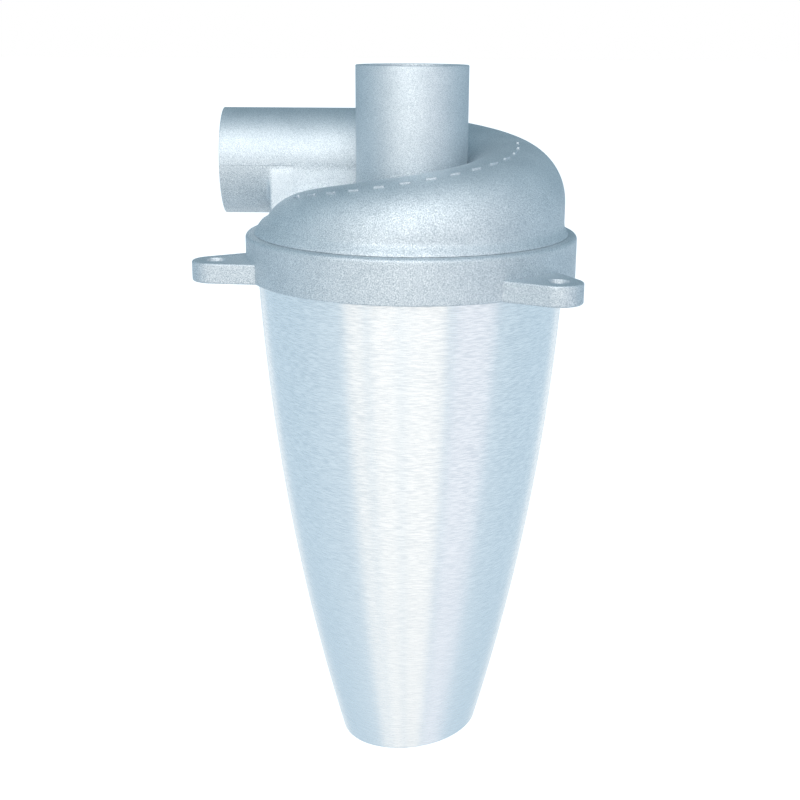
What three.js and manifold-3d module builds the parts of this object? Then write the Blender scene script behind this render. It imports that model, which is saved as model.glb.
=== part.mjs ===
// Cyclone dust separator: a cast aluminium scroll head with a side inlet and a top outlet, held by a collar
// with three bolt ears, over a spun aluminium cone that is open at the bottom.
// Millimetres. +Z is up, along the cyclone's axis. The origin is on that axis, in the plane of the ears'
// undersides. The inlet points along -X, behind the axis.
import * as THREE from 'three';
import { mergeVertices } from 'three/addons/utils/BufferGeometryUtils.js';
import Module from 'manifold-3d';

// ---------- driving dimensions ----------
const GAP = 0.3; // between pieces that touch
const HOSE_R = 25; // outside radius of both hose spigots
const OUTLET_WALL = 2.5;
const OUTLET_TOP = 92.3;
const FINDER_BOTTOM = -28; // the outlet tube reaches this far down, into the cone

const INLET_Y = 45; // inlet axis, beside the cyclone's axis
const INLET_Z = 46.2;
const INLET_END = -89.6; // open end of the inlet
const CAST_WALL = 3;

const COLLAR_R = 74.8;
const COLLAR_H = 19.3;
const LIP_ROUND = 1;
const SOCKET_R = 68; // the head's neck drops into this bore
const SHELF_R = 64.8; // inner edge of the shelf that carries the head
const SHELF_LOW = 8.6;
const SHELF_TOP = 12.6;
const CONE_BORE_R = 69.7;

const EAR_ANGLES = [-47.2, -167.2, 72.8]; // degrees, counter-clockwise from +X
const EAR_HOLE_AT = 88.5;
const EAR_HOLE_R = 3.5;
const EAR_SINK_R = 4.7; // chamfered mouth of the hole
const EAR_TIP_R = 10.5;
const EAR_ROOT_HALF = 16.6;
const EAR_ROOT_AT = 72;
const EAR_H = 9;
const EAR_EDGE = 0.8;

const SCREW_COUNT = 6;
const SCREW_AT = 62;
const SCREW_FIRST_ANGLE = 30;
const SCREW_R = 1.5;
const SCREW_HEAD_R = 2.9;
const SCREW_TOP = 20.6;
const SCREW_HOLE_R = 1.8;
const LUG_R = 4.5;
const BOSS_R = 4;
const BOSS_TOP = 22.9;

const GASKET_H = 0.7;
const HUB_R = 29.3; // sleeve of the casting round the outlet tube
const ORING_R = 1.3;
const ORING_Z = 17.5;

const MOUTH_Z = -227.4; // the cone's mouth, on the axis
const MOUTH_SLOPE = 0.11; // rise of the mouth per millimetre along +X
const MOUTH_R = 32.9;
const CONE_WIDEN = 0.268; // radius gained per millimetre at the mouth
const CONE_BEND = 0.00047; // and how it falls off with height, per square millimetre
const CONE_TOP = 6.3;
const CONE_TOP_R = 69.4;
const CONE_WALL = 1.5;

// The scroll: its roof falls as it winds clockwise, seen from above, round the outlet tube.
// "turned" is in degrees along its path, from where the roof starts to fall, on the inlet's straight end.
const LEAD = 24; // the straight stretch, as degrees of the path
const SCROLL_TURNED = 364;
const SCROLL_STEP = 8;
const SCROLL_IN_R = INLET_Y - HOSE_R;
const SCROLL_OUT_R = INLET_Y + HOSE_R;
const SCROLL_SHRINK = 0.0085; // outer radius lost per degree
const ROOF_TOP = INLET_Z + HOSE_R;
const ROOF_FALL = 0.105; // height lost per degree
const ROOF_FALL_GROWS = 4.67e-10; // and per degree to the fourth power, as the roof dives at the low end
const SCROLL_BASE = COLLAR_H + 1.1; // a narrow shadow gap stays above the collar
const FOOT_R = 72.2; // the head flares out over the collar's top
const FOOT_H = 3.4;
const DUCT_TURNED = 329; // the hollow ends before it would meet the inlet's floor
const ROUND = 48; // sides of a large circle
const SMALL_ROUND = 12; // and of a small one

// ---------- materials ----------
const finish = (color, roughness, metalness) => () =>
  new THREE.MeshStandardMaterial({ color, roughness, metalness });
const blastedAluminium = finish(0xaebfcb, 0.55, 0.9);
const spunAluminium = finish(0xd3e2ec, 0.3, 1);
const blackRubber = finish(0x1c1c1e, 0.85, 0);
const zincSteel = finish(0xb5b8ba, 0.35, 1);

// ---------- solids ----------
const wasm = await Module();
wasm.setup();

// A closed three.js geometry as a solid that can be joined and cut.
function solid(geometry) {
  const bare = geometry.clone();
  bare.deleteAttribute('normal');
  bare.deleteAttribute('uv');
  const merged = mergeVertices(bare, 1e-4);
  const corners = Array.from(merged.index.array);
  const triangles = [];
  for (let i = 0; i < corners.length; i += 3) {
    const [a, b, c] = corners.slice(i, i + 3);
    if (a !== b && b !== c && c !== a) triangles.push(a, b, c);
  }
  return new wasm.Manifold(
    new wasm.Mesh({
      numProp: 3,
      vertProperties: merged.attributes.position.array,
      triVerts: new Uint32Array(triangles),
    }),
  );
}

function piece(name, body, material) {
  const { vertProperties, triVerts } = body.getMesh();
  const geometry = new THREE.BufferGeometry();
  geometry.setAttribute('position', new THREE.BufferAttribute(vertProperties, 3));
  geometry.setIndex(new THREE.BufferAttribute(triVerts, 1));
  geometry.computeVertexNormals();
  const mesh = new THREE.Mesh(geometry, material());
  mesh.name = name;
  return mesh;
}

// A body turned about Z from a closed outline of [radius, height] points, going counter-clockwise.
function turned(outline, sides = ROUND) {
  const points = [...outline, outline[0]].map(([r, z]) => new THREE.Vector2(r, z));
  return solid(new THREE.LatheGeometry(points, sides).rotateX(Math.PI / 2));
}

// An upright cylinder, or a frustum when its top has another radius.
function post(radius, low, high, { x = 0, y = 0, sides = ROUND, topRadius = radius } = {}) {
  const geometry = new THREE.CylinderGeometry(topRadius, radius, high - low, sides)
    .rotateX(Math.PI / 2)
    .translate(x, y, (low + high) / 2);
  return solid(geometry);
}

function block([x0, y0, z0], [x1, y1, z1]) {
  const geometry = new THREE.BoxGeometry(x1 - x0, y1 - y0, z1 - z0).translate(
    (x0 + x1) / 2,
    (y0 + y1) / 2,
    (z0 + z1) / 2,
  );
  return solid(geometry);
}

const join = (bodies) => bodies.reduce((sum, body) => sum.add(body));
const radians = THREE.MathUtils.degToRad;

function onCircle(radius, degrees) {
  return { x: radius * Math.cos(radians(degrees)), y: radius * Math.sin(radians(degrees)) };
}

const screwPlaces = Array.from({ length: SCREW_COUNT }, (_, k) => ({
  ...onCircle(SCREW_AT, SCREW_FIRST_ANGLE + (k * 360) / SCREW_COUNT),
  sides: SMALL_ROUND,
}));

// ---------- the scroll's path and section ----------
const roofAt = (turnedBy) => ROOF_TOP - ROOF_FALL * turnedBy - ROOF_FALL_GROWS * turnedBy ** 4;

// The point at a radius and height on the path: straight along +X at first, then round the axis.
function onPath(turnedBy, radius, height) {
  if (turnedBy < LEAD) return [-radians(LEAD - turnedBy) * INLET_Y, radius, height];
  const { x, y } = onCircle(radius, 90 + LEAD - turnedBy);
  return [x, y, height];
}

// The section is an arch: two straight sides on the base, and half an ellipse above them.
function archSection(turnedBy, { base, inner, wall, arcs = 12 }) {
  const outer = SCROLL_OUT_R - SCROLL_SHRINK * turnedBy - wall;
  const roof = roofAt(turnedBy) - wall;
  const spring = Math.max(base + 0.5, roof - HOSE_R + wall);
  const middle = (outer + inner) / 2;
  const points = [[outer, base]];
  for (let i = 0; i <= arcs; i++) {
    const a = (Math.PI * i) / arcs;
    points.push([middle + (outer - middle) * Math.cos(a), spring + (roof - spring) * Math.sin(a)]);
  }
  points.push([inner, base]);
  return points;
}

// A closed bar along the path, made by bending a cylinder: its sides follow the section's points.
function sweep(from, to, step, sectionAt) {
  const around = sectionAt(from).length;
  const geometry = new THREE.CylinderGeometry(1, 1, 1, around, Math.round((to - from) / step));
  const position = geometry.attributes.position;
  for (let i = 0; i < position.count; i++) {
    const [x, y, z] = [position.getX(i), position.getY(i), position.getZ(i)];
    const turnedBy = THREE.MathUtils.lerp(from, to, 0.5 + y);
    const section = sectionAt(turnedBy);
    const side = Math.round((Math.atan2(x, z) / (2 * Math.PI)) * around + around) % around;
    const middle = [(section[0][0] + section.at(-1)[0]) / 2, section[0][1] + 1];
    const [radius, height] = Math.hypot(x, z) < 0.5 ? middle : section[side];
    position.setXYZ(i, ...onPath(turnedBy, radius, height));
  }
  return solid(geometry);
}

// ---------- head casting ----------
function inletCylinder(radius, from, to) {
  const geometry = new THREE.CylinderGeometry(radius, radius, to - from, ROUND)
    .rotateZ(Math.PI / 2)
    .translate((from + to) / 2, INLET_Y, INLET_Z);
  return solid(geometry);
}

function voluteHousing() {
  const base = SHELF_TOP + GASKET_H + 2 * GAP;
  const straightStart = -radians(LEAD) * INLET_Y;
  const scroll = sweep(0, SCROLL_TURNED, SCROLL_STEP, (t) =>
    archSection(t, { base: SCROLL_BASE, inner: SCROLL_IN_R, wall: 0 }),
  );
  // Under the inlet the drum stays full height, with a flat web that faces the scroll's low end.
  const drum = post(SCROLL_OUT_R - 0.5, SCROLL_BASE, INLET_Z).intersect(
    block([-SCROLL_OUT_R, SCROLL_IN_R, 0], [0, SCROLL_OUT_R, INLET_Z + 1]),
  );
  const neck = post(SOCKET_R - GAP - 0.1, base, SCROLL_BASE + 0.5);
  const foot = turned([
    [SCROLL_OUT_R - 4, SCROLL_BASE],
    [FOOT_R, SCROLL_BASE],
    [FOOT_R, SCROLL_BASE + 0.8],
    [SCROLL_OUT_R - 3.3, SCROLL_BASE + FOOT_H],
    [SCROLL_OUT_R - 4, SCROLL_BASE + FOOT_H],
  ]);
  const inlet = inletCylinder(HOSE_R, INLET_END, straightStart + 1);
  const outside = join([scroll, drum, neck, foot, inlet]);

  const duct = sweep(0, DUCT_TURNED, SCROLL_STEP, (t) =>
    archSection(t, { base: SCROLL_BASE, inner: HUB_R, wall: CAST_WALL }),
  );
  const chamber = post(SHELF_R, base - 1, SCROLL_BASE + 1).subtract(post(HUB_R, 0, OUTLET_TOP));
  const bore = inletCylinder(HOSE_R - CAST_WALL, INLET_END - 1, straightStart + 0.8);
  const bosses = join(screwPlaces.map((at) => post(BOSS_R, base, BOSS_TOP, at)));
  const screwHoles = join(
    screwPlaces.map((at) => post(SCREW_HOLE_R, base - 1, SCREW_TOP + 0.6, at)),
  );
  const groove = turned(
    [
      [HOSE_R - 1, ORING_Z - ORING_R - GAP],
      [HOSE_R + 2 * ORING_R, ORING_Z - ORING_R - GAP],
      [HOSE_R + 2 * ORING_R, ORING_Z + ORING_R + GAP],
      [HOSE_R - 1, ORING_Z + ORING_R + GAP],
    ],
  );
  return outside
    .subtract(duct)
    .subtract(chamber)
    .subtract(bore)
    .add(bosses)
    .subtract(screwHoles)
    .subtract(post(HOSE_R + GAP, 0, OUTLET_TOP))
    .subtract(groove);
}

// ---------- outlet tube, which is also the vortex finder ----------
function outletTube() {
  const inner = HOSE_R - OUTLET_WALL;
  const edge = 0.4;
  return turned(
    [
      [inner, FINDER_BOTTOM + edge],
      [inner + edge, FINDER_BOTTOM],
      [HOSE_R - edge, FINDER_BOTTOM],
      [HOSE_R, FINDER_BOTTOM + edge],
      [HOSE_R, OUTLET_TOP - edge],
      [HOSE_R - edge, OUTLET_TOP],
      [inner + edge, OUTLET_TOP],
      [inner, OUTLET_TOP - edge],
    ],
  );
}

function tubeSealRing() {
  const middle = HOSE_R + GAP / 2 + ORING_R;
  const ring = new THREE.TorusGeometry(middle, ORING_R - GAP / 2, 8, ROUND).translate(0, 0, ORING_Z);
  return solid(ring);
}

// ---------- collar ----------
function earOutline() {
  // The flanks leave the tip's arc along its tangents and widen to the root.
  const run = EAR_HOLE_AT - EAR_ROOT_AT;
  const flare =
    Math.acos(EAR_TIP_R / Math.hypot(run, EAR_ROOT_HALF)) - Math.atan2(run, EAR_ROOT_HALF);
  const shape = new THREE.Shape();
  shape.moveTo(EAR_ROOT_AT, EAR_ROOT_HALF);
  shape.lineTo(EAR_ROOT_AT, -EAR_ROOT_HALF);
  shape.absarc(EAR_HOLE_AT, 0, EAR_TIP_R, flare - Math.PI / 2, Math.PI / 2 - flare, false);
  shape.closePath();
  return shape;
}

function ear(degrees) {
  const geometry = new THREE.ExtrudeGeometry(earOutline(), {
    depth: EAR_H - 2 * EAR_EDGE,
    curveSegments: 10,
    bevelSize: EAR_EDGE,
    bevelOffset: -EAR_EDGE,
    bevelThickness: EAR_EDGE,
    bevelSegments: 1,
  });
  geometry.translate(0, 0, EAR_EDGE).rotateZ(radians(degrees));
  return solid(geometry);
}

function earHole(degrees) {
  const at = { ...onCircle(EAR_HOLE_AT, degrees), sides: 16 };
  const sink = EAR_SINK_R - EAR_HOLE_R;
  const mouth = post(EAR_HOLE_R - sink, EAR_H - 2 * sink, EAR_H + sink, {
    ...at,
    topRadius: EAR_SINK_R + sink,
  });
  return post(EAR_HOLE_R, -1, EAR_H + 1, at).add(mouth);
}

function mountingCollar() {
  const low = 0.6;
  const topArc = [0, 1, 2].map((i) => {
    const a = (Math.PI / 4) * i;
    return [
      COLLAR_R - LIP_ROUND + LIP_ROUND * Math.cos(a),
      COLLAR_H - LIP_ROUND + LIP_ROUND * Math.sin(a),
    ];
  });
  const ring = turned([
    [CONE_BORE_R, 0],
    [COLLAR_R - low, 0],
    [COLLAR_R, low],
    ...topArc,
    [SOCKET_R, COLLAR_H],
    [SOCKET_R, SHELF_TOP],
    [SHELF_R, SHELF_TOP],
    [SHELF_R, SHELF_LOW],
    [CONE_BORE_R, SHELF_LOW],
  ]);
  const lugs = screwPlaces.map((at) => post(LUG_R, SHELF_LOW, SHELF_TOP, at));
  const holes = screwPlaces.map((at) => post(SCREW_HOLE_R, 0, COLLAR_H, at));
  const sinkDepth = SCREW_HEAD_R + 0.5 - SCREW_HOLE_R;
  const sinks = screwPlaces.map((at) =>
    post(SCREW_HEAD_R + 1.5, SHELF_LOW - 1, SHELF_LOW + sinkDepth, {
      ...at,
      topRadius: SCREW_HOLE_R,
    }),
  );
  // The ears stop short of the cone's bore.
  const ears = join(EAR_ANGLES.map(ear)).subtract(post(COLLAR_R - 2, -1, COLLAR_H));
  return join([ring, ...lugs, ears])
    .subtract(join([...holes, ...sinks]))
    .subtract(join(EAR_ANGLES.map(earHole)));
}

function headGasket() {
  const [low, high] = [SHELF_TOP + GAP, SHELF_TOP + GAP + GASKET_H];
  const ring = post(SOCKET_R - GAP, low, high).subtract(post(SHELF_R, low - 1, high + 1));
  const tabs = screwPlaces.map((at) => post(BOSS_R, low, high, at));
  const holes = screwPlaces.map((at) => post(SCREW_HOLE_R, low - 1, high + 1, at));
  return join([ring, ...tabs]).subtract(join(holes));
}

// A countersunk screw, driven upwards, with a hexagon socket in its head.
function headScrew(at) {
  const low = SHELF_LOW + GAP;
  const coneTop = low + SCREW_HEAD_R - SCREW_R;
  const shank = post(SCREW_R, coneTop - 0.2, SCREW_TOP, at);
  const head = post(SCREW_HEAD_R, low, coneTop, { ...at, topRadius: SCREW_R });
  const socket = post(1.15, low - 1, low + 1.1, { ...at, sides: 6 });
  return head.add(shank).subtract(socket);
}

// ---------- cone ----------
const coneRadiusAt = (z) => {
  const up = z - MOUTH_Z;
  return Math.min(CONE_TOP_R, MOUTH_R + CONE_WIDEN * up - CONE_BEND * up ** 2);
};

function coneShell() {
  const rows = 9;
  const bottom = MOUTH_Z - 6;
  const heights = Array.from({ length: rows }, (_, i) => (bottom * (rows - 1 - i)) / (rows - 1));
  const outside = [...heights, CONE_TOP].map((z) => [coneRadiusAt(z), z]);
  const inside = outside.map(([r, z]) => [r - CONE_WALL, z]).reverse();
  const shell = turned([...outside, ...inside]);
  const reach = 100;
  const below = new THREE.BoxGeometry(reach, reach, reach)
    .translate(0, 0, -reach / 2)
    .rotateY(-Math.atan(MOUTH_SLOPE))
    .translate(0, 0, MOUTH_Z);
  return shell.subtract(solid(below));
}

function coneSealRing() {
  const [low, high] = [CONE_TOP + GAP, SHELF_LOW - GAP];
  const outer = CONE_BORE_R - GAP;
  return post(outer, low, high).subtract(post(outer - 2.5, low - 1, high + 1));
}

// ---------- assembly ----------
const cyclone = new THREE.Group();
cyclone.name = 'cyclone_dust_collector';

const head = new THREE.Group();
head.add(
  piece('volute_housing', voluteHousing(), blastedAluminium),
  piece('outlet_tube', outletTube(), blastedAluminium),
  piece('tube_seal_ring', tubeSealRing(), blackRubber),
);

const mounting = new THREE.Group();
mounting.add(
  piece('mounting_collar', mountingCollar(), blastedAluminium),
  piece('head_gasket', headGasket(), blackRubber),
  ...screwPlaces.map((at, k) => piece(`head_screw_${k + 1}`, headScrew(at), zincSteel)),
);

const lower = new THREE.Group();
lower.add(
  piece('cone_shell', coneShell(), spunAluminium),
  piece('cone_seal_ring', coneSealRing(), blackRubber),
);

cyclone.add(head, mounting, lower);
export default cyclone;
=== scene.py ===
"""Cyclone dust separator: a blasted cast scroll head and collar over a spun aluminium cone.

Shapes are made in millimetres, with +Z up along the cyclone's axis and the origin in the plane of the ears'
undersides, and each finished piece is brought to metres.
"""

from math import acos, atan2, cos, hypot, pi, radians, sin

import bmesh
import bpy
from mathutils import Matrix, Vector


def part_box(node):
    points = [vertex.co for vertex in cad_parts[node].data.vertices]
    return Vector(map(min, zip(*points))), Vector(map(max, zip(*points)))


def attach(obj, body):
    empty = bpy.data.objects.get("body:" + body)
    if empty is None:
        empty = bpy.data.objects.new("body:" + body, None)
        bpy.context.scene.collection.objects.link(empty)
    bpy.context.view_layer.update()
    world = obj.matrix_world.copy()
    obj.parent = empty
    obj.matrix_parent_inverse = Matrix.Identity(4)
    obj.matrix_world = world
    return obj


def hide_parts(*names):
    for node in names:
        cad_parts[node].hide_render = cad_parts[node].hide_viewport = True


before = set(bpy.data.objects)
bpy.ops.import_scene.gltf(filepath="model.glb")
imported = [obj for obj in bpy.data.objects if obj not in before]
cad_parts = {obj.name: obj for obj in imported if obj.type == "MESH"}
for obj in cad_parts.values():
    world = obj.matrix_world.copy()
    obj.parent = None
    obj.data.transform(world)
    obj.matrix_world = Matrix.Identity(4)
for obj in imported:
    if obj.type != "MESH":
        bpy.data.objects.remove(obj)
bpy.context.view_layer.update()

MM = 0.001
UP = Vector((0, 0, 1))


def box_mm(node):
    """The lowest and highest corners of a CAD node, in millimetres."""
    low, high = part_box(node)
    return low / MM, high / MM


# ---------- driving dimensions, in millimetres and degrees ----------
HEAD_LOW, HEAD_HIGH = box_mm("volute_housing")
TUBE_LOW, TUBE_HIGH = box_mm("outlet_tube")
_, COLLAR_HIGH = box_mm("mounting_collar")
_, CONE_HIGH = box_mm("cone_shell")

HOSE_R = TUBE_HIGH.x  # outside radius of both spigots
CAST_WALL = 3
TUBE_WALL = 2.5
TUBE_EDGE = 0.45
CLEARANCE = 0.3
OVERLAP = 0.5  # how far bodies run into each other where they are joined
WELD = 0.002  # edges shorter than this are closed up
CUT_PAST = 1  # how far a cutting body runs past the face that it opens

INLET_END = HEAD_LOW.x
INLET_Z = HEAD_HIGH.z - HOSE_R
INLET_Y = 45
INLET_EDGE = 0.35
INLET_CHAMFER = 0.6
PATH_R = INLET_Y
SCROLL_IN_R = INLET_Y - HOSE_R
SCROLL_OUT_R = INLET_Y + HOSE_R
SCROLL_SHRINK = 0.0085  # the outer radius lost by each degree of turn
ROOF_FALL = 0.105  # the height lost by each degree of turn
ROOF_FALL_GROWS = 4.67e-10  # and the further loss, with the turn to the fourth power
LEAD = 24  # the first degrees of the path, which run straight
PATH_START = -radians(LEAD) * PATH_R
SCROLL_TURNED = 364
DUCT_TURNED = 329
SCROLL_BASE = 20.4
SIDE_LEAST = 0.5  # the straight sides of the section are at least this high
FOOT_LOW = COLLAR_HIGH.z + 0.15
FOOT_R = 70.7
FOOT_H = 4.4
NECK_R = 67.6
HUB_R = 29.3
CHAMBER_R = 64.8
PAD_STANDS = 0.45
PAD_DEPTH = 6
PAD_CORNER = 4
PAD_BELOW_AXIS = 2.5
PAD_START, PAD_END = -66.4, -55.2
SKIN_VOXEL = 0.9
SKIN_ROUNDS = 8
SKIN_EXTRA = 4  # the skin runs on past its ends by this before they are cut
SKIN_LOSS = 0.3  # what the easing takes off a thin edge

COLLAR_R = COLLAR_HIGH.x
COLLAR_H = COLLAR_HIGH.z
SOCKET_R = 68
LIP_ROUND = 1.8
SOCKET_EDGE = 0.6
COLLAR_FOOT_EDGE = 0.7
CONE_BORE_EDGE = 0.4
SHELF_R = 64.8
SHELF_LOW = 8.6
SHELF_TOP = 12.6
CONE_BORE_R = 69.7

EAR_ANGLES = (-47.2, -167.2, 72.8)
EAR_HOLE_AT = 88.5
EAR_HOLE_R = 3.5
EAR_SINK_R = 4.7
EAR_TIP_R = 10.48
EAR_ROOT_HALF = 16.6
EAR_ROOT_AT = 72
EAR_H = 9
EAR_EDGE = 0.9

SCREW_ANGLES = range(30, 390, 60)
SCREW_AT = 62
SCREW_HOLE_R = 1.8
SCREW_SINK_R = 3.4
LUG_R = 4.5
BOSS_R = 4
BOSS_TOP = 22.9
BOSS_CAP = 1.7  # metal left over the end of each screw hole

MOUTH_Z = -227.4
MOUTH_SLOPE = 0.11
MOUTH_R = 32.9
MOUTH_ROLL_IN = 1.3
MOUTH_ROLL_DOWN = 1.04
MOUTH_INSIDE = 0.052  # how far inside the CAD mouth the rolled edge stays
CONE_WIDEN = 0.268
CONE_BEND = 0.00047
CONE_TOP = CONE_HIGH.z
CONE_TOP_R = 69.4
CONE_WALL = 1.5

MARK_COUNT = 14
MARK_SPAN = 5  # degrees of turn
MARK_WIDTH = 1.2
MARK_HEIGHT = 0.7
MARKS_FIRST, MARKS_LAST = 112, 262  # degrees of turn
MARKS_HIGH, MARKS_LOW = 84, 58  # degrees up the section
SEAM_Z = 46.5
SEAM_END = -55
SEAM_INSET = 0.6
SEAM_SIZE = 0.5
STEP_LOW = 39.6
STEP_WIDTH = 0.4


# ---------- mesh helpers ----------
def object_from(bm, name):
    mesh = bpy.data.meshes.new(name)
    bm.to_mesh(mesh)
    bm.free()
    made = bpy.data.objects.new(name, mesh)
    bpy.context.scene.collection.objects.link(made)
    return made


def discard(made):
    mesh = made.data
    bpy.data.objects.remove(made)
    bpy.data.meshes.remove(mesh)


def with_modifiers(bm, *steps):
    """The mesh after these modifiers, each given as its type and its settings."""
    work = object_from(bm, "work")
    for kind, settings in steps:
        modifier = work.modifiers.new(kind, kind)
        for key, value in settings.items():
            setattr(modifier, key, value)
    bpy.context.view_layer.update()
    evaluated = work.evaluated_get(bpy.context.evaluated_depsgraph_get())
    mesh = bpy.data.meshes.new_from_object(evaluated)
    result = bmesh.new()
    result.from_mesh(mesh)
    bpy.data.meshes.remove(mesh)
    discard(work)
    return result


def combined(bm, operation, *others):
    """One body joined with others, or cut by them, one at a time."""
    for other in others:
        tool = object_from(other, "tool")
        bm = with_modifiers(bm, ("BOOLEAN", {"operation": operation, "object": tool, "solver": "MANIFOLD"}))
        discard(tool)
    return bm


def together(*bodies):
    """Several bodies in one mesh, as they stand."""
    result = bmesh.new()
    for body in bodies:
        mesh = bpy.data.meshes.new("part")
        body.to_mesh(mesh)
        body.free()
        result.from_mesh(mesh)
        bpy.data.meshes.remove(mesh)
    return result


def outwards(bm):
    bmesh.ops.remove_doubles(bm, verts=bm.verts, dist=1e-4)
    bmesh.ops.recalc_face_normals(bm, faces=bm.faces)
    return bm


def rod(radius, low, high, x=0, y=0, top_radius=None, sides=96):
    """An upright cylinder, or a frustum when its top has another radius."""
    bm = bmesh.new()
    bmesh.ops.create_cone(
        bm,
        cap_ends=True,
        segments=sides,
        radius1=radius,
        radius2=radius if top_radius is None else top_radius,
        depth=high - low,
        matrix=Matrix.Translation((x, y, (low + high) / 2)),
    )
    return bm


def lathe(outline, sides=240, closed=True):
    """A body turned about Z from an outline of (radius, height) points."""
    bm = bmesh.new()
    points = [bm.verts.new((r, 0, z)) for r, z in outline]
    pairs = zip(points, points[1:] + points[:1]) if closed else zip(points, points[1:])
    edges = [bm.edges.new(pair) for pair in pairs]
    bmesh.ops.spin(
        bm,
        geom=points + edges,
        cent=(0, 0, 0),
        axis=UP,
        dvec=(0, 0, 0),
        angle=2 * pi,
        steps=sides,
        use_merge=True,
        use_duplicate=False,
    )
    return outwards(bm)


def ring_edges(bm, radius, height):
    """The edges of one circle about the axis."""

    def on_ring(vert):
        return abs(hypot(vert.co.x, vert.co.y) - radius) < 0.01 and abs(vert.co.z - height) < 0.01

    return [e for e in bm.edges if all(on_ring(v) for v in e.verts)]


def soften(bm, edges, width, segments=3):
    bmesh.ops.bevel(
        bm,
        geom=list(edges),
        offset=width,
        offset_type="OFFSET",
        segments=segments,
        profile=0.5,
        affect="EDGES",
        material=-1,
        clamp_overlap=True,
    )
    return bm


def cut(bm, point, normal, fill=True):
    """Takes off what lies beyond a plane, on the side its normal points to."""
    found = bmesh.ops.bisect_plane(
        bm,
        geom=bm.verts[:] + bm.edges[:] + bm.faces[:],
        plane_co=point,
        plane_no=normal,
        dist=1e-4,
        clear_outer=True,
    )
    rim = [g for g in found["geom_cut"] if isinstance(g, bmesh.types.BMEdge)]
    if fill:
        bmesh.ops.holes_fill(bm, edges=rim, sides=0)
    return rim


def on_circle(radius, degrees):
    return {"x": radius * cos(radians(degrees)), "y": radius * sin(radians(degrees))}


# ---------- shader helpers ----------
class Signal:
    """A shader socket that takes part in sums: an expression on values adds its Math nodes."""

    def __init__(self, tree, socket):
        self.tree = tree
        self.socket = socket

    def math(self, operation, *values):
        return self.tree.node("ShaderNodeMath", {"operation": operation}, dict(enumerate(values)))

    def __add__(self, other):
        return self.math("ADD", self, other)

    def __sub__(self, other):
        return self.math("SUBTRACT", self, other)

    def __rsub__(self, other):
        return self.math("SUBTRACT", other, self)

    def __mul__(self, other):
        return self.math("MULTIPLY", self, other)

    __radd__ = __add__
    __rmul__ = __mul__

    def rise(self, start, end):
        """0 below start, 1 above end, and smooth between them."""
        return self.tree.node(
            "ShaderNodeMapRange",
            {"interpolation_type": "SMOOTHSTEP"},
            {"Value": self, "From Min": start, "From Max": end},
        )

    def band(self, low, high, soft):
        """1 between low and high, with soft edges."""
        return self.rise(low - soft, low + soft) * (1 - self.rise(high - soft, high + soft))


class Shader:
    """The node tree of a material or a world."""

    def __init__(self, owner):
        owner.use_nodes = True
        owner.node_tree.nodes.clear()
        self.nodes = owner.node_tree.nodes
        self.links = owner.node_tree.links

    def node(self, kind, settings=None, values=None, output=0):
        made = self.nodes.new(kind)
        for key, value in (settings or {}).items():
            setattr(made, key, value)
        for key, value in (values or {}).items():
            if isinstance(value, Signal):
                self.links.new(value.socket, made.inputs[key])
            else:
                made.inputs[key].default_value = value
        return Signal(self, made.outputs[output])

    def place(self, kind="Object"):
        return self.node("ShaderNodeTexCoord", output=kind)

    def along_axes(self, vector):
        return [self.node("ShaderNodeSeparateXYZ", None, {"Vector": vector}, output=axis) for axis in "XYZ"]

    def noise(self, size, stretch=(1, 1, 1), detail=2, roughness=0.5):
        """Noise whose spots are about size millimetres, longer where stretch is above 1."""
        scale = [1 / (size * MM * s) for s in stretch]
        mapped = self.node("ShaderNodeMapping", None, {"Vector": self.place(), "Scale": scale})
        values = {"Vector": mapped, "Scale": 1.0, "Detail": detail, "Roughness": roughness}
        return self.node("ShaderNodeTexNoise", None, values)

    def mix(self, factor, first, second):
        """A colour between two colours."""
        return self.node(
            "ShaderNodeMix",
            {"data_type": "RGBA"},
            {"Factor": factor, 6: first, 7: second},
            output=2,
        )

    def bump(self, height, distance, strength=1.0):
        return self.node(
            "ShaderNodeBump", None, {"Height": height, "Distance": distance * MM, "Strength": strength}
        )

    def finish(self, shader, output="ShaderNodeOutputMaterial"):
        self.links.new(shader.socket, self.nodes.new(output).inputs["Surface"])


def material(name, build):
    made = bpy.data.materials.new(name)
    shader = Shader(made)
    shader.finish(shader.node("ShaderNodeBsdfPrincipled", None, build(shader)))
    return made


# ---------- finishes ----------
def blasted_cast_aluminium(s):
    """Bead-blasted casting: a sparkling grain, calmer on the spigots, and a painted highlight that lightens
    the web's face.
    """
    grain = s.noise(0.31, detail=1, roughness=0.5)
    pits = s.noise(1.4, detail=2, roughness=0.6)
    mottle = s.noise(16, detail=4, roughness=0.55)
    x, y, z = s.along_axes(s.place())
    rough_skin = 1 - z.rise(0.034, 0.058) * 0.45
    sparkle = (grain.rise(0.36, 0.64) - 0.5) * rough_skin
    # painted highlight: inside this box over the web's face the base colour is lightened to stand in for
    # the light that face catches; the grain and roughness stay as elsewhere
    lightened_area = x.band(-0.0655, -0.020, 0.001) * y.band(0.018, 0.0218, 0.0008) * z.band(0.020, 0.0445, 0.002)
    tone = 0.5 + sparkle * 0.78 + (pits - 0.5) * 0.12 + (mottle - 0.5) * 0.35 + lightened_area * 0.42
    return {
        "Base Color": s.mix(tone, (0.36, 0.43, 0.48, 1), (0.86, 0.91, 0.94, 1)),
        "Metallic": 0.85,
        "Roughness": 0.53 - sparkle * 0.14 + mottle * 0.04,
        "Normal": s.bump(grain * rough_skin * 0.8 + pits * 0.2, 0.20, 0.9),
    }


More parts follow.
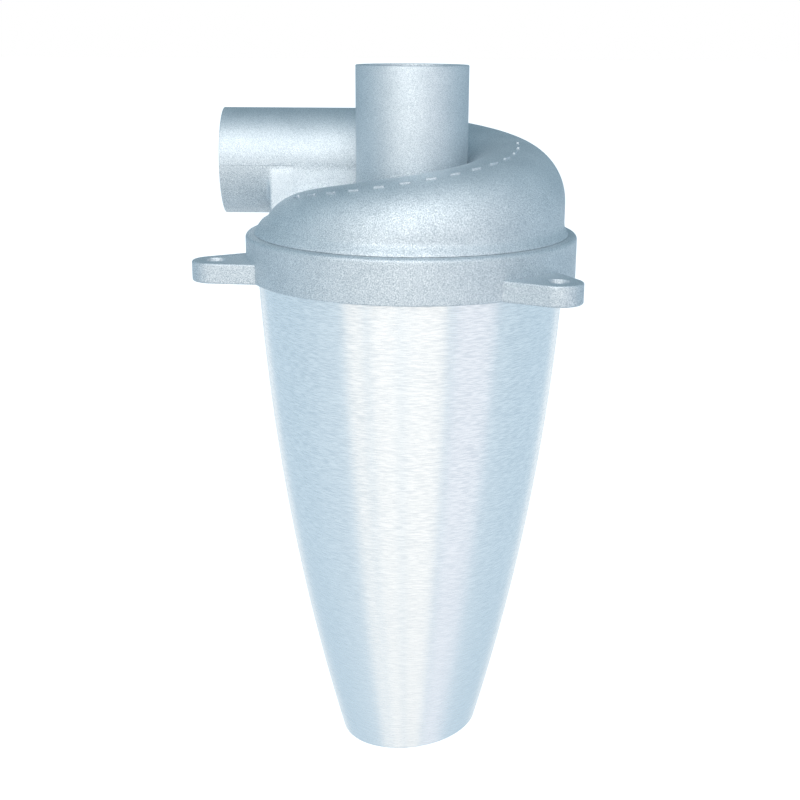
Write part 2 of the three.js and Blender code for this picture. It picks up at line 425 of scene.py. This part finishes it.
def spun_aluminium(s):
    """Bare sheet from the spinning lathe: short hair lines that run round the axis."""
    hair = s.noise(0.27, stretch=(16, 16, 1), detail=1, roughness=0.5)
    threads = s.noise(0.7, stretch=(20, 20, 1), detail=1)
    ridges = s.noise(0.3, stretch=(60, 60, 1), detail=1)
    cloud = s.noise(24, stretch=(1, 1, 2.5), detail=3)
    _, _, z = s.along_axes(s.place())
    crisp = 0.45 + z.rise(-0.20, -0.06) * 0.55
    line = (hair.rise(0.34, 0.66) - 0.5) * crisp
    tone = 0.62 + line * 0.9 + (threads - 0.5) * crisp * 0.3 + (cloud - 0.5) * 0.2
    return {
        "Base Color": s.mix(tone, (0.76, 0.80, 0.83, 1), (0.99, 1.0, 1.0, 1)),
        "Metallic": 1.0,
        "Roughness": 0.24 + threads * 0.05 - line * 0.05,
        "Anisotropic": 0.85,
        "Anisotropic Rotation": 0.25,
        "Normal": s.bump(ridges, 0.07, 0.7),
    }


def black_rubber(s):
    grain = s.noise(0.5, detail=3)
    return {
        "Base Color": s.mix(grain, (0.012, 0.012, 0.013, 1), (0.03, 0.03, 0.032, 1)),
        "Roughness": 0.7 + grain * 0.15,
        "Normal": s.bump(grain, 0.08, 0.5),
    }


def zinc_steel(s):
    grain = s.noise(0.4, detail=3)
    stain = s.noise(3, detail=3)
    return {
        "Base Color": s.mix(stain, (0.50, 0.51, 0.53, 1), (0.68, 0.69, 0.70, 1)),
        "Metallic": 1.0,
        "Roughness": 0.28 + grain * 0.14,
        "Normal": s.bump(grain, 0.03, 0.4),
    }


CAST = material("blasted_cast_aluminium", blasted_cast_aluminium)
SPUN = material("spun_aluminium", spun_aluminium)
RUBBER = material("black_rubber", black_rubber)
ZINC = material("zinc_steel", zinc_steel)


def finished(name, bm, look, slot, *nodes, crease=40):
    """A piece in metres, smooth except across creases, that rides on the part and stands for CAD nodes."""
    bmesh.ops.dissolve_degenerate(bm, dist=WELD, edges=bm.edges)
    bmesh.ops.scale(bm, vec=(MM, MM, MM), verts=bm.verts)
    piece = object_from(bm, name)
    for face in piece.data.polygons:
        face.use_smooth = True
    piece.data.set_sharp_from_angle(angle=radians(crease))
    piece.data.materials.append(look)
    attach(piece, "root")
    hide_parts(*nodes)
    return piece


def even_normals(piece):
    """Keeps broad flat faces flat in shading beside their eased edges."""
    weighted = piece.modifiers.new("even_normals", "WEIGHTED_NORMAL")
    weighted.keep_sharp = True


# ---------- the scroll's path and section ----------
def roof_at(turned):
    return HEAD_HIGH.z - ROOF_FALL * turned - ROOF_FALL_GROWS * turned**4


def on_path(turned, radius, height):
    """A point on the path: straight along +X at first, then clockwise round the axis, seen from above."""
    if turned < LEAD:
        return Vector((-radians(LEAD - turned) * PATH_R, radius, height))
    angle = radians(90 + LEAD - turned)
    return Vector((radius * cos(angle), radius * sin(angle), height))


def arch(turned, base, inner, wall, arcs=28):
    """The section, an arch: two straight sides on the base and half an ellipse above them."""
    outer = SCROLL_OUT_R - SCROLL_SHRINK * turned - wall
    roof = roof_at(turned) - wall
    spring = max(base + SIDE_LEAST, roof - HOSE_R + wall)
    middle = (outer + inner) / 2
    angles = [pi * i / arcs for i in range(arcs + 1)]
    bow = [(middle + (outer - middle) * cos(a), spring + (roof - spring) * sin(a)) for a in angles]
    return [(outer, base), *bow, (inner, base)]


def pipe_ring(turned, wall, arcs=60):
    """The section of the straight lead: the whole round pipe, whose roof already falls a little."""
    radius = HOSE_R - wall
    angles = [2 * pi * i / arcs for i in range(arcs)]
    middle = roof_at(turned) - HOSE_R
    return [(INLET_Y + radius * cos(a), middle + radius * sin(a)) for a in angles]


def sweep(first, last, section, step=2, **size):
    """A closed bar along the path: its end face is extruded step by step and set to the next section."""
    bm = bmesh.new()
    face = bm.faces.new([bm.verts.new(on_path(first, *p)) for p in section(first, **size)])
    steps = max(1, round((last - first) / step))
    for k in range(1, steps + 1):
        turned = first + (last - first) * k / steps
        made = bmesh.ops.extrude_face_region(bm, geom=[face])["geom"]
        if k > 1:
            bmesh.ops.delete(bm, geom=[face], context="FACES_ONLY")
        face = next(g for g in made if isinstance(g, bmesh.types.BMFace))
        for vert, point in zip(face.verts, section(turned, **size)):
            vert.co = on_path(turned, *point)
    return outwards(bm)


def along_inlet(bm, start=0):
    """An upright body laid along the inlet's axis, with its foot at this X."""
    turn = Matrix.Translation((start, INLET_Y, INLET_Z)) @ Matrix.Rotation(pi / 2, 4, "Y")
    bmesh.ops.transform(bm, matrix=turn, verts=bm.verts)
    return bm


def pipe(radius, start, end):
    return along_inlet(rod(radius, start, end))


# ---------- head casting ----------
def cast_skin(bm):
    """Overlapping bodies as one cast skin, with its joins filleted and its edges eased."""
    return with_modifiers(
        bm,
        ("REMESH", {"mode": "VOXEL", "voxel_size": SKIN_VOXEL, "adaptivity": 0.0}),
        ("SMOOTH", {"factor": 0.5, "iterations": SKIN_ROUNDS}),
    )


def drum():
    """Under the inlet the drum stays full height, with a flat web that faces the scroll's low end."""
    bm = rod(SCROLL_OUT_R - OVERLAP, SCROLL_BASE - SKIN_EXTRA, INLET_Z, sides=180)
    cut(bm, (0, SCROLL_IN_R, 0), (0, -1, 0))
    cut(bm, (0, 0, 0), (1, 0, 0))
    return outwards(bm)


def web_pad():
    """A low pad where the web starts, with a round top corner."""
    bm = bmesh.new()
    bmesh.ops.create_cube(bm, size=1)
    low, high = SCROLL_BASE - SKIN_EXTRA, INLET_Z - PAD_BELOW_AXIS
    bmesh.ops.scale(bm, vec=(PAD_END - PAD_START, PAD_DEPTH, high - low), verts=bm.verts)
    middle = ((PAD_START + PAD_END) / 2, SCROLL_IN_R - PAD_STANDS + PAD_DEPTH / 2, (low + high) / 2)
    bmesh.ops.translate(bm, vec=middle, verts=bm.verts)
    corner = [e for e in bm.edges if all(v.co.x < PAD_START + 0.1 and v.co.z > high - 0.1 for v in e.verts)]
    return soften(bm, corner, PAD_CORNER, 6)


def foot():
    """The flare of the head over the collar's top, run on downwards like the rest of the skin."""
    top, inner = SCROLL_BASE + FOOT_H, SCROLL_OUT_R - 6
    return lathe(
        [
            (inner, SCROLL_BASE - SKIN_EXTRA),
            (FOOT_R + SKIN_LOSS, SCROLL_BASE - SKIN_EXTRA),
            (FOOT_R + SKIN_LOSS, FOOT_LOW + 0.4),
            (SCROLL_OUT_R - 0.6, FOOT_LOW + 2.6),
            (SCROLL_OUT_R - 2.6, top),
            (inner, top),
        ]
    )


def head_outside():
    """The whole outer skin. It runs on past its cut ends, so the easing leaves them sharp."""
    low = SCROLL_BASE - SKIN_EXTRA
    bodies = [
        sweep(LEAD, SCROLL_TURNED, arch, base=low, inner=SCROLL_IN_R, wall=0),
        sweep(0, LEAD + 2, pipe_ring, wall=0),
        pipe(HOSE_R, INLET_END - SKIN_EXTRA, PATH_START + OVERLAP),
        drum(),
        web_pad(),
        foot(),
    ]
    skin = cast_skin(together(*bodies))
    rim = cut(skin, (INLET_END, 0, 0), (-1, 0, 0))
    soften(skin, [e for e in rim if e.is_valid], INLET_EDGE, 2)
    cut(skin, (0, 0, FOOT_LOW), (0, 0, -1))
    return skin


def scroll_head():
    low = HEAD_LOW.z
    skin = combined(head_outside(), "UNION", rod(NECK_R, low, SCROLL_BASE + OVERLAP, sides=240))
    chamber = lathe(
        [
            (HUB_R, low - CUT_PAST),
            (CHAMBER_R, low - CUT_PAST),
            (CHAMBER_R, SCROLL_BASE + CUT_PAST),
            (HUB_R, SCROLL_BASE + CUT_PAST),
        ]
    )
    bore_r = HOSE_R - CAST_WALL
    chamfer = rod(bore_r + INLET_CHAMFER + CUT_PAST, -CUT_PAST, INLET_CHAMFER, top_radius=bore_r)
    hollows = [
        sweep(LEAD, DUCT_TURNED, arch, base=SCROLL_BASE, inner=HUB_R, wall=CAST_WALL),
        chamber,
        sweep(0, LEAD + 1, pipe_ring, wall=CAST_WALL),
        pipe(bore_r, INLET_END - CUT_PAST, PATH_START + OVERLAP),
        along_inlet(chamfer, INLET_END),
    ]
    shell = combined(skin, "DIFFERENCE", *hollows)
    posts = [rod(BOSS_R, low, BOSS_TOP, **on_circle(SCREW_AT, a), sides=24) for a in SCREW_ANGLES]
    holes = [
        rod(SCREW_HOLE_R, low - CUT_PAST, BOSS_TOP - BOSS_CAP, **on_circle(SCREW_AT, a), sides=24)
        for a in SCREW_ANGLES
    ]
    shell = combined(shell, "UNION", *posts)
    shell = combined(shell, "DIFFERENCE", *holes, rod(HOSE_R + CLEARANCE, 0, TUBE_HIGH.z, sides=240))
    return finished("scroll_head", shell, CAST, "cast_aluminium", "volute_housing")


# ---------- outlet tube ----------
def outlet_tube():
    inner = HOSE_R - TUBE_WALL
    low, high = TUBE_LOW.z, TUBE_HIGH.z
    corners = [(inner, low), (HOSE_R, low), (HOSE_R, high), (inner, high)]
    bm = lathe(corners)
    rims = [edge for corner in corners for edge in ring_edges(bm, *corner)]
    soften(bm, rims, TUBE_EDGE)
    return finished("hose_outlet", bm, CAST, "cast_aluminium", "outlet_tube")


# ---------- collar ----------
def ear(degrees):
    """A flat lug: a round tip about its bolt hole, with flanks that widen to the collar."""
    run = EAR_HOLE_AT - EAR_ROOT_AT
    flare = acos(EAR_TIP_R / hypot(run, EAR_ROOT_HALF)) - atan2(run, EAR_ROOT_HALF)
    reach = pi / 2 - flare
    arcs = 28
    tip = [-reach + 2 * reach * i / arcs for i in range(arcs + 1)]
    outline = [(EAR_HOLE_AT + EAR_TIP_R * cos(a), EAR_TIP_R * sin(a)) for a in tip]
    outline += [(EAR_ROOT_AT, EAR_ROOT_HALF), (EAR_ROOT_AT, -EAR_ROOT_HALF)]
    bm = bmesh.new()
    face = bm.faces.new([bm.verts.new((x, y, 0)) for x, y in outline])
    made = bmesh.ops.extrude_face_region(bm, geom=[face])["geom"]
    tops = [g for g in made if isinstance(g, bmesh.types.BMVert)]
    bmesh.ops.translate(bm, vec=(0, 0, EAR_H), verts=tops)
    outwards(bm)
    flat = [e for e in bm.edges if abs(e.verts[0].co.z - e.verts[1].co.z) < 0.01]
    soften(bm, flat, EAR_EDGE, 4)
    bmesh.ops.rotate(bm, cent=(0, 0, 0), matrix=Matrix.Rotation(radians(degrees), 3, "Z"), verts=bm.verts)
    return bm


def mounting_collar():
    ring = lathe(
        [
            (CONE_BORE_R, 0),
            (COLLAR_R, 0),
            (COLLAR_R, COLLAR_H),
            (SOCKET_R, COLLAR_H),
            (SOCKET_R, SHELF_TOP),
            (SHELF_R, SHELF_TOP),
            (SHELF_R, SHELF_LOW),
            (CONE_BORE_R, SHELF_LOW),
        ],
        sides=360,
    )
    soften(ring, ring_edges(ring, COLLAR_R, COLLAR_H), LIP_ROUND, 5)
    soften(ring, ring_edges(ring, SOCKET_R, COLLAR_H), SOCKET_EDGE)
    soften(ring, ring_edges(ring, COLLAR_R, 0), COLLAR_FOOT_EDGE, 4)
    soften(ring, ring_edges(ring, CONE_BORE_R, 0), CONE_BORE_EDGE, 2)
    lugs = [rod(LUG_R, SHELF_LOW, SHELF_TOP, **on_circle(SCREW_AT, a), sides=32) for a in SCREW_ANGLES]
    body = combined(ring, "UNION", *[ear(a) for a in EAR_ANGLES], *lugs)
    sink = SCREW_SINK_R - SCREW_HOLE_R
    for angle in SCREW_ANGLES:
        at = {**on_circle(SCREW_AT, angle), "sides": 24}
        body = combined(
            body,
            "DIFFERENCE",
            rod(SCREW_HOLE_R, 0, COLLAR_H, **at),
            rod(
                SCREW_SINK_R + CUT_PAST,
                SHELF_LOW - CUT_PAST,
                SHELF_LOW + sink,
                top_radius=SCREW_HOLE_R,
                **at,
            ),
        )
    ease = EAR_SINK_R - EAR_HOLE_R
    for angle in EAR_ANGLES:
        at = {**on_circle(EAR_HOLE_AT, angle), "sides": 64}
        mouth = {"top_radius": EAR_SINK_R + ease, **at}
        body = combined(
            body,
            "DIFFERENCE",
            rod(EAR_HOLE_R, -CUT_PAST, EAR_H + CUT_PAST, **at),
            rod(EAR_HOLE_R - ease, EAR_H - 4 * ease, EAR_H + 2 * ease, **mouth),
        )
    piece = finished("bolt_collar", body, CAST, "cast_aluminium", "mounting_collar")
    even_normals(piece)
    return piece


# ---------- cone ----------
def cone_radius(z):
    up = z - MOUTH_Z
    return min(CONE_TOP_R, MOUTH_R + CONE_WIDEN * up - CONE_BEND * up**2)


def spun_cone():
    rows = 48
    bottom = MOUTH_Z - 8
    heights = [bottom + (CONE_TOP - bottom) * i / rows for i in range(rows + 1)]
    bm = lathe([(cone_radius(z), z) for z in heights], sides=288, closed=False)
    if sum(f.normal.x * f.calc_center_median().x for f in bm.faces) < 0:
        bmesh.ops.reverse_faces(bm, faces=bm.faces)
    tilt = Vector((MOUTH_SLOPE, 0, -1)).normalized()
    rim = cut(bm, (0, 0, MOUTH_Z + MOUTH_ROLL_DOWN + MOUTH_INSIDE), tilt, fill=False)
    # The mouth is rolled in: its edge is extruded round a quarter turn.
    turns = 4
    for k in range(1, turns + 1):
        out = bmesh.ops.extrude_edge_only(bm, edges=rim)["geom"]
        ring = [g for g in out if isinstance(g, bmesh.types.BMVert)]
        rim = [g for g in out if isinstance(g, bmesh.types.BMEdge)]
        before, after = pi / 2 * (k - 1) / turns, pi / 2 * k / turns
        inward = MOUTH_ROLL_IN * (cos(before) - cos(after))
        down = MOUTH_ROLL_DOWN * (sin(after) - sin(before))
        shrink = 1 - inward / MOUTH_R
        bmesh.ops.scale(bm, vec=(shrink, shrink, 1), verts=ring)
        bmesh.ops.translate(bm, vec=tilt * down, verts=ring)
    shell = with_modifiers(
        bm, ("SOLIDIFY", {"thickness": CONE_WALL, "offset": -1.0, "use_even_offset": False})
    )
    return finished("spun_cone", shell, SPUN, "spun_aluminium", "cone_shell", crease=50)


# ---------- raised details of the casting ----------
def scroll_frame(turned, degrees):
    """A place on the scroll's skin: its X follows the path, and its Z stands off the skin."""

    def point(t, a):
        outer = SCROLL_OUT_R - SCROLL_SHRINK * t
        middle = (outer + SCROLL_IN_R) / 2
        spring = max(SCROLL_BASE + SIDE_LEAST, roof_at(t) - HOSE_R)
        rise = roof_at(t) - spring
        return on_path(t, middle + (outer - middle) * cos(radians(a)), spring + rise * sin(radians(a)))

    here = point(turned, degrees)
    along = (point(turned + 1, degrees) - point(turned - 1, degrees)).normalized()
    across = point(turned, degrees + 1) - point(turned, degrees - 1)
    out = across.cross(along).normalized()
    side = out.cross(along).normalized()
    turn = Matrix((along, side, out)).transposed().to_4x4()
    return Matrix.Translation(here) @ turn


def raised_bar(length, width, height):
    bm = bmesh.new()
    bmesh.ops.create_cube(bm, size=1)
    bmesh.ops.scale(bm, vec=(length, width, height), verts=bm.verts)
    return soften(bm, bm.edges[:], min(width, height) * 0.3, 2)


def raised_mark(turned, degrees):
    """A short raised bar that lies along the skin from this place."""

    def place(u):
        return scroll_frame(turned + MARK_SPAN * u, degrees)

    length = (place(1).translation - place(0).translation).length
    slices = 12
    bm = raised_bar(length, MARK_WIDTH, 2 * MARK_HEIGHT)
    for k in range(1, slices):
        bmesh.ops.bisect_plane(
            bm,
            geom=bm.verts[:] + bm.edges[:] + bm.faces[:],
            plane_co=(length * (k / slices - 0.5), 0, 0),
            plane_no=(1, 0, 0),
        )
    for vert in bm.verts:
        vert.co = place(vert.co.x / length + 0.5) @ Vector((0, vert.co.y, vert.co.z))
    bmesh.ops.recalc_face_normals(bm, faces=bm.faces)
    return bm


def casting_marks():
    """Plain foundry marks along the ridge: a row of short bars at even steps."""
    marks = []
    for k in range(MARK_COUNT):
        along = k / (MARK_COUNT - 1)
        turned = MARKS_FIRST + (MARKS_LAST - MARKS_FIRST) * along
        degrees = MARKS_HIGH + (MARKS_LOW - MARKS_HIGH) * along
        marks.append(raised_mark(turned, degrees))
    return finished("casting_marks", together(*marks), CAST, "cast_aluminium")


def mould_line():
    """The fine flash that the mould's parting leaves along the inlet, and the step where a core met it."""
    seam_start = INLET_END + SEAM_INSET
    seams = []
    for y in (INLET_Y - HOSE_R, INLET_Y + HOSE_R):
        seam = raised_bar(SEAM_END - seam_start, SEAM_SIZE, SEAM_SIZE)
        bmesh.ops.translate(seam, vec=((SEAM_END + seam_start) / 2, y, SEAM_Z), verts=seam.verts)
        seams.append(seam)
    step = raised_bar(SEAM_SIZE, STEP_WIDTH, SEAM_Z - STEP_LOW)
    middle = (SEAM_END, INLET_Y - HOSE_R, (SEAM_Z + STEP_LOW) / 2)
    bmesh.ops.translate(step, vec=middle, verts=step.verts)
    return finished("mould_line", together(*seams, step), CAST, "cast_aluminium")


# ---------- CAD pieces that stay ----------
def dress(nodes, look):
    for name in nodes:
        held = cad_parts[name].data.materials
        held.clear()
        held.append(look)


# ---------- studio ----------
def camera():
    """The view is set by its place, three turns and a lens."""
    place = Vector((0, -0.5654, 0.1054))
    yaw, pitch, roll = radians(-0.467), radians(16.388), radians(0.324)
    forward = Vector((sin(yaw) * cos(pitch), cos(yaw) * cos(pitch), -sin(pitch)))
    right = Vector((cos(yaw), -sin(yaw), 0))
    top = right.cross(forward)
    side = right * cos(roll) + top * sin(roll)
    top = top * cos(roll) - right * sin(roll)
    made = bpy.data.objects.new("camera", bpy.data.cameras.new("camera"))
    made.data.lens = 56.1
    made.data.clip_start = 0.01
    turn = Matrix((side, top, -forward)).transposed().to_4x4()
    made.matrix_world = Matrix.Translation(place) @ turn
    bpy.context.scene.collection.objects.link(made)
    bpy.context.scene.camera = made


def floor():
    """A plain pale floor, well under the hanging part."""
    bm = bmesh.new()
    bmesh.ops.create_grid(bm, x_segments=8, y_segments=8, size=30)
    lightened_area = object_from(bm, "floor")
    lightened_area.location = (0, 0, -0.5)
    pale = material(
        "pale_floor",
        lambda s: {
            "Base Color": (0.9, 0.9, 0.9, 1),
            "Roughness": 0.9,
            "Emission Color": (1, 1, 1, 1),
            "Emission Strength": 0.7,
        },
    )
    lightened_area.data.materials.append(pale)
    lightened_area.visible_glossy = False
    lightened_area.visible_diffuse = False


def studio_world():
    """Cool, dim surroundings, with a broad pale front split into upright panels and a paler back wall."""
    world = bpy.data.worlds.new("studio")
    bpy.context.scene.world = world
    s = Shader(world)
    x, y, z = s.along_axes(s.place("Generated"))
    azimuth = x.math("ARCTAN2", x, y * -1) * (180 / pi)
    height = z.math("ARCSINE", z) * (180 / pi)
    off_axis = azimuth.math("ABSOLUTE", azimuth)

    light = s.mix(height.rise(-12, 12), (0.59, 0.73, 0.84, 1), (0.34, 0.50, 0.60, 1))
    halo = 1 - off_axis.rise(50, 115)
    light = s.mix(halo * 0.35, light, (0.86, 0.94, 1.0, 1))
    low_back = off_axis.rise(138, 152) * (1 - height.rise(-15, -7))
    light = s.mix(low_back, light, (0.92, 0.98, 1.02, 1))
    high_back = off_axis.rise(125, 160) * height.rise(-7, 3)
    light = s.mix(high_back, light, (0.12, 0.22, 0.28, 1))
    light = s.mix(1 - height.rise(-88, -76), light, (0.27, 0.36, 0.42, 1))

    upright = height.band(-75, 60, 8)
    frame_post = azimuth.band(-35.5, -31, 1) * 0.8
    camera_gap = azimuth.band(-11, -2, 2.5) * 0.3
    front = azimuth.band(-50.5, 28, 1.5) - frame_post - camera_gap
    light = s.mix(azimuth.band(33.5, 67, 2) * upright, light, (0.88, 0.92, 0.99, 1))
    light = s.mix(front * upright, light, (1.02, 1.03, 1.03, 1))

    seen = s.node("ShaderNodeLightPath", output="Is Camera Ray")
    light = s.mix(seen, light, (1, 1, 1, 1))
    s.finish(s.node("ShaderNodeBackground", None, {"Color": light}), "ShaderNodeOutputWorld")


def key_light():
    """One large soft box, high in front."""
    lamp = bpy.data.lights.new("soft_box", "AREA")
    lamp.shape = "DISK"
    lamp.size = 1.6
    lamp.energy = 10
    lamp.color = (1.0, 0.975, 0.955)
    made = bpy.data.objects.new("soft_box", lamp)
    place = Vector((-0.1, -1.1, 0.95))
    turn = place.to_track_quat("Z", "Y").to_matrix().to_4x4()
    made.matrix_world = Matrix.Translation(place) @ turn
    made.visible_camera = False
    bpy.context.scene.collection.objects.link(made)


# ---------- assembly ----------
scroll_head()
outlet_tube()
mounting_collar()
spun_cone()
casting_marks()
mould_line()
dress(["tube_seal_ring", "head_gasket", "cone_seal_ring"], RUBBER)
dress([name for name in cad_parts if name.startswith("head_screw")], ZINC)
camera()
floor()
studio_world()
key_light()

view = bpy.context.scene.view_settings
view.view_transform = "Standard"
view.look = "None"
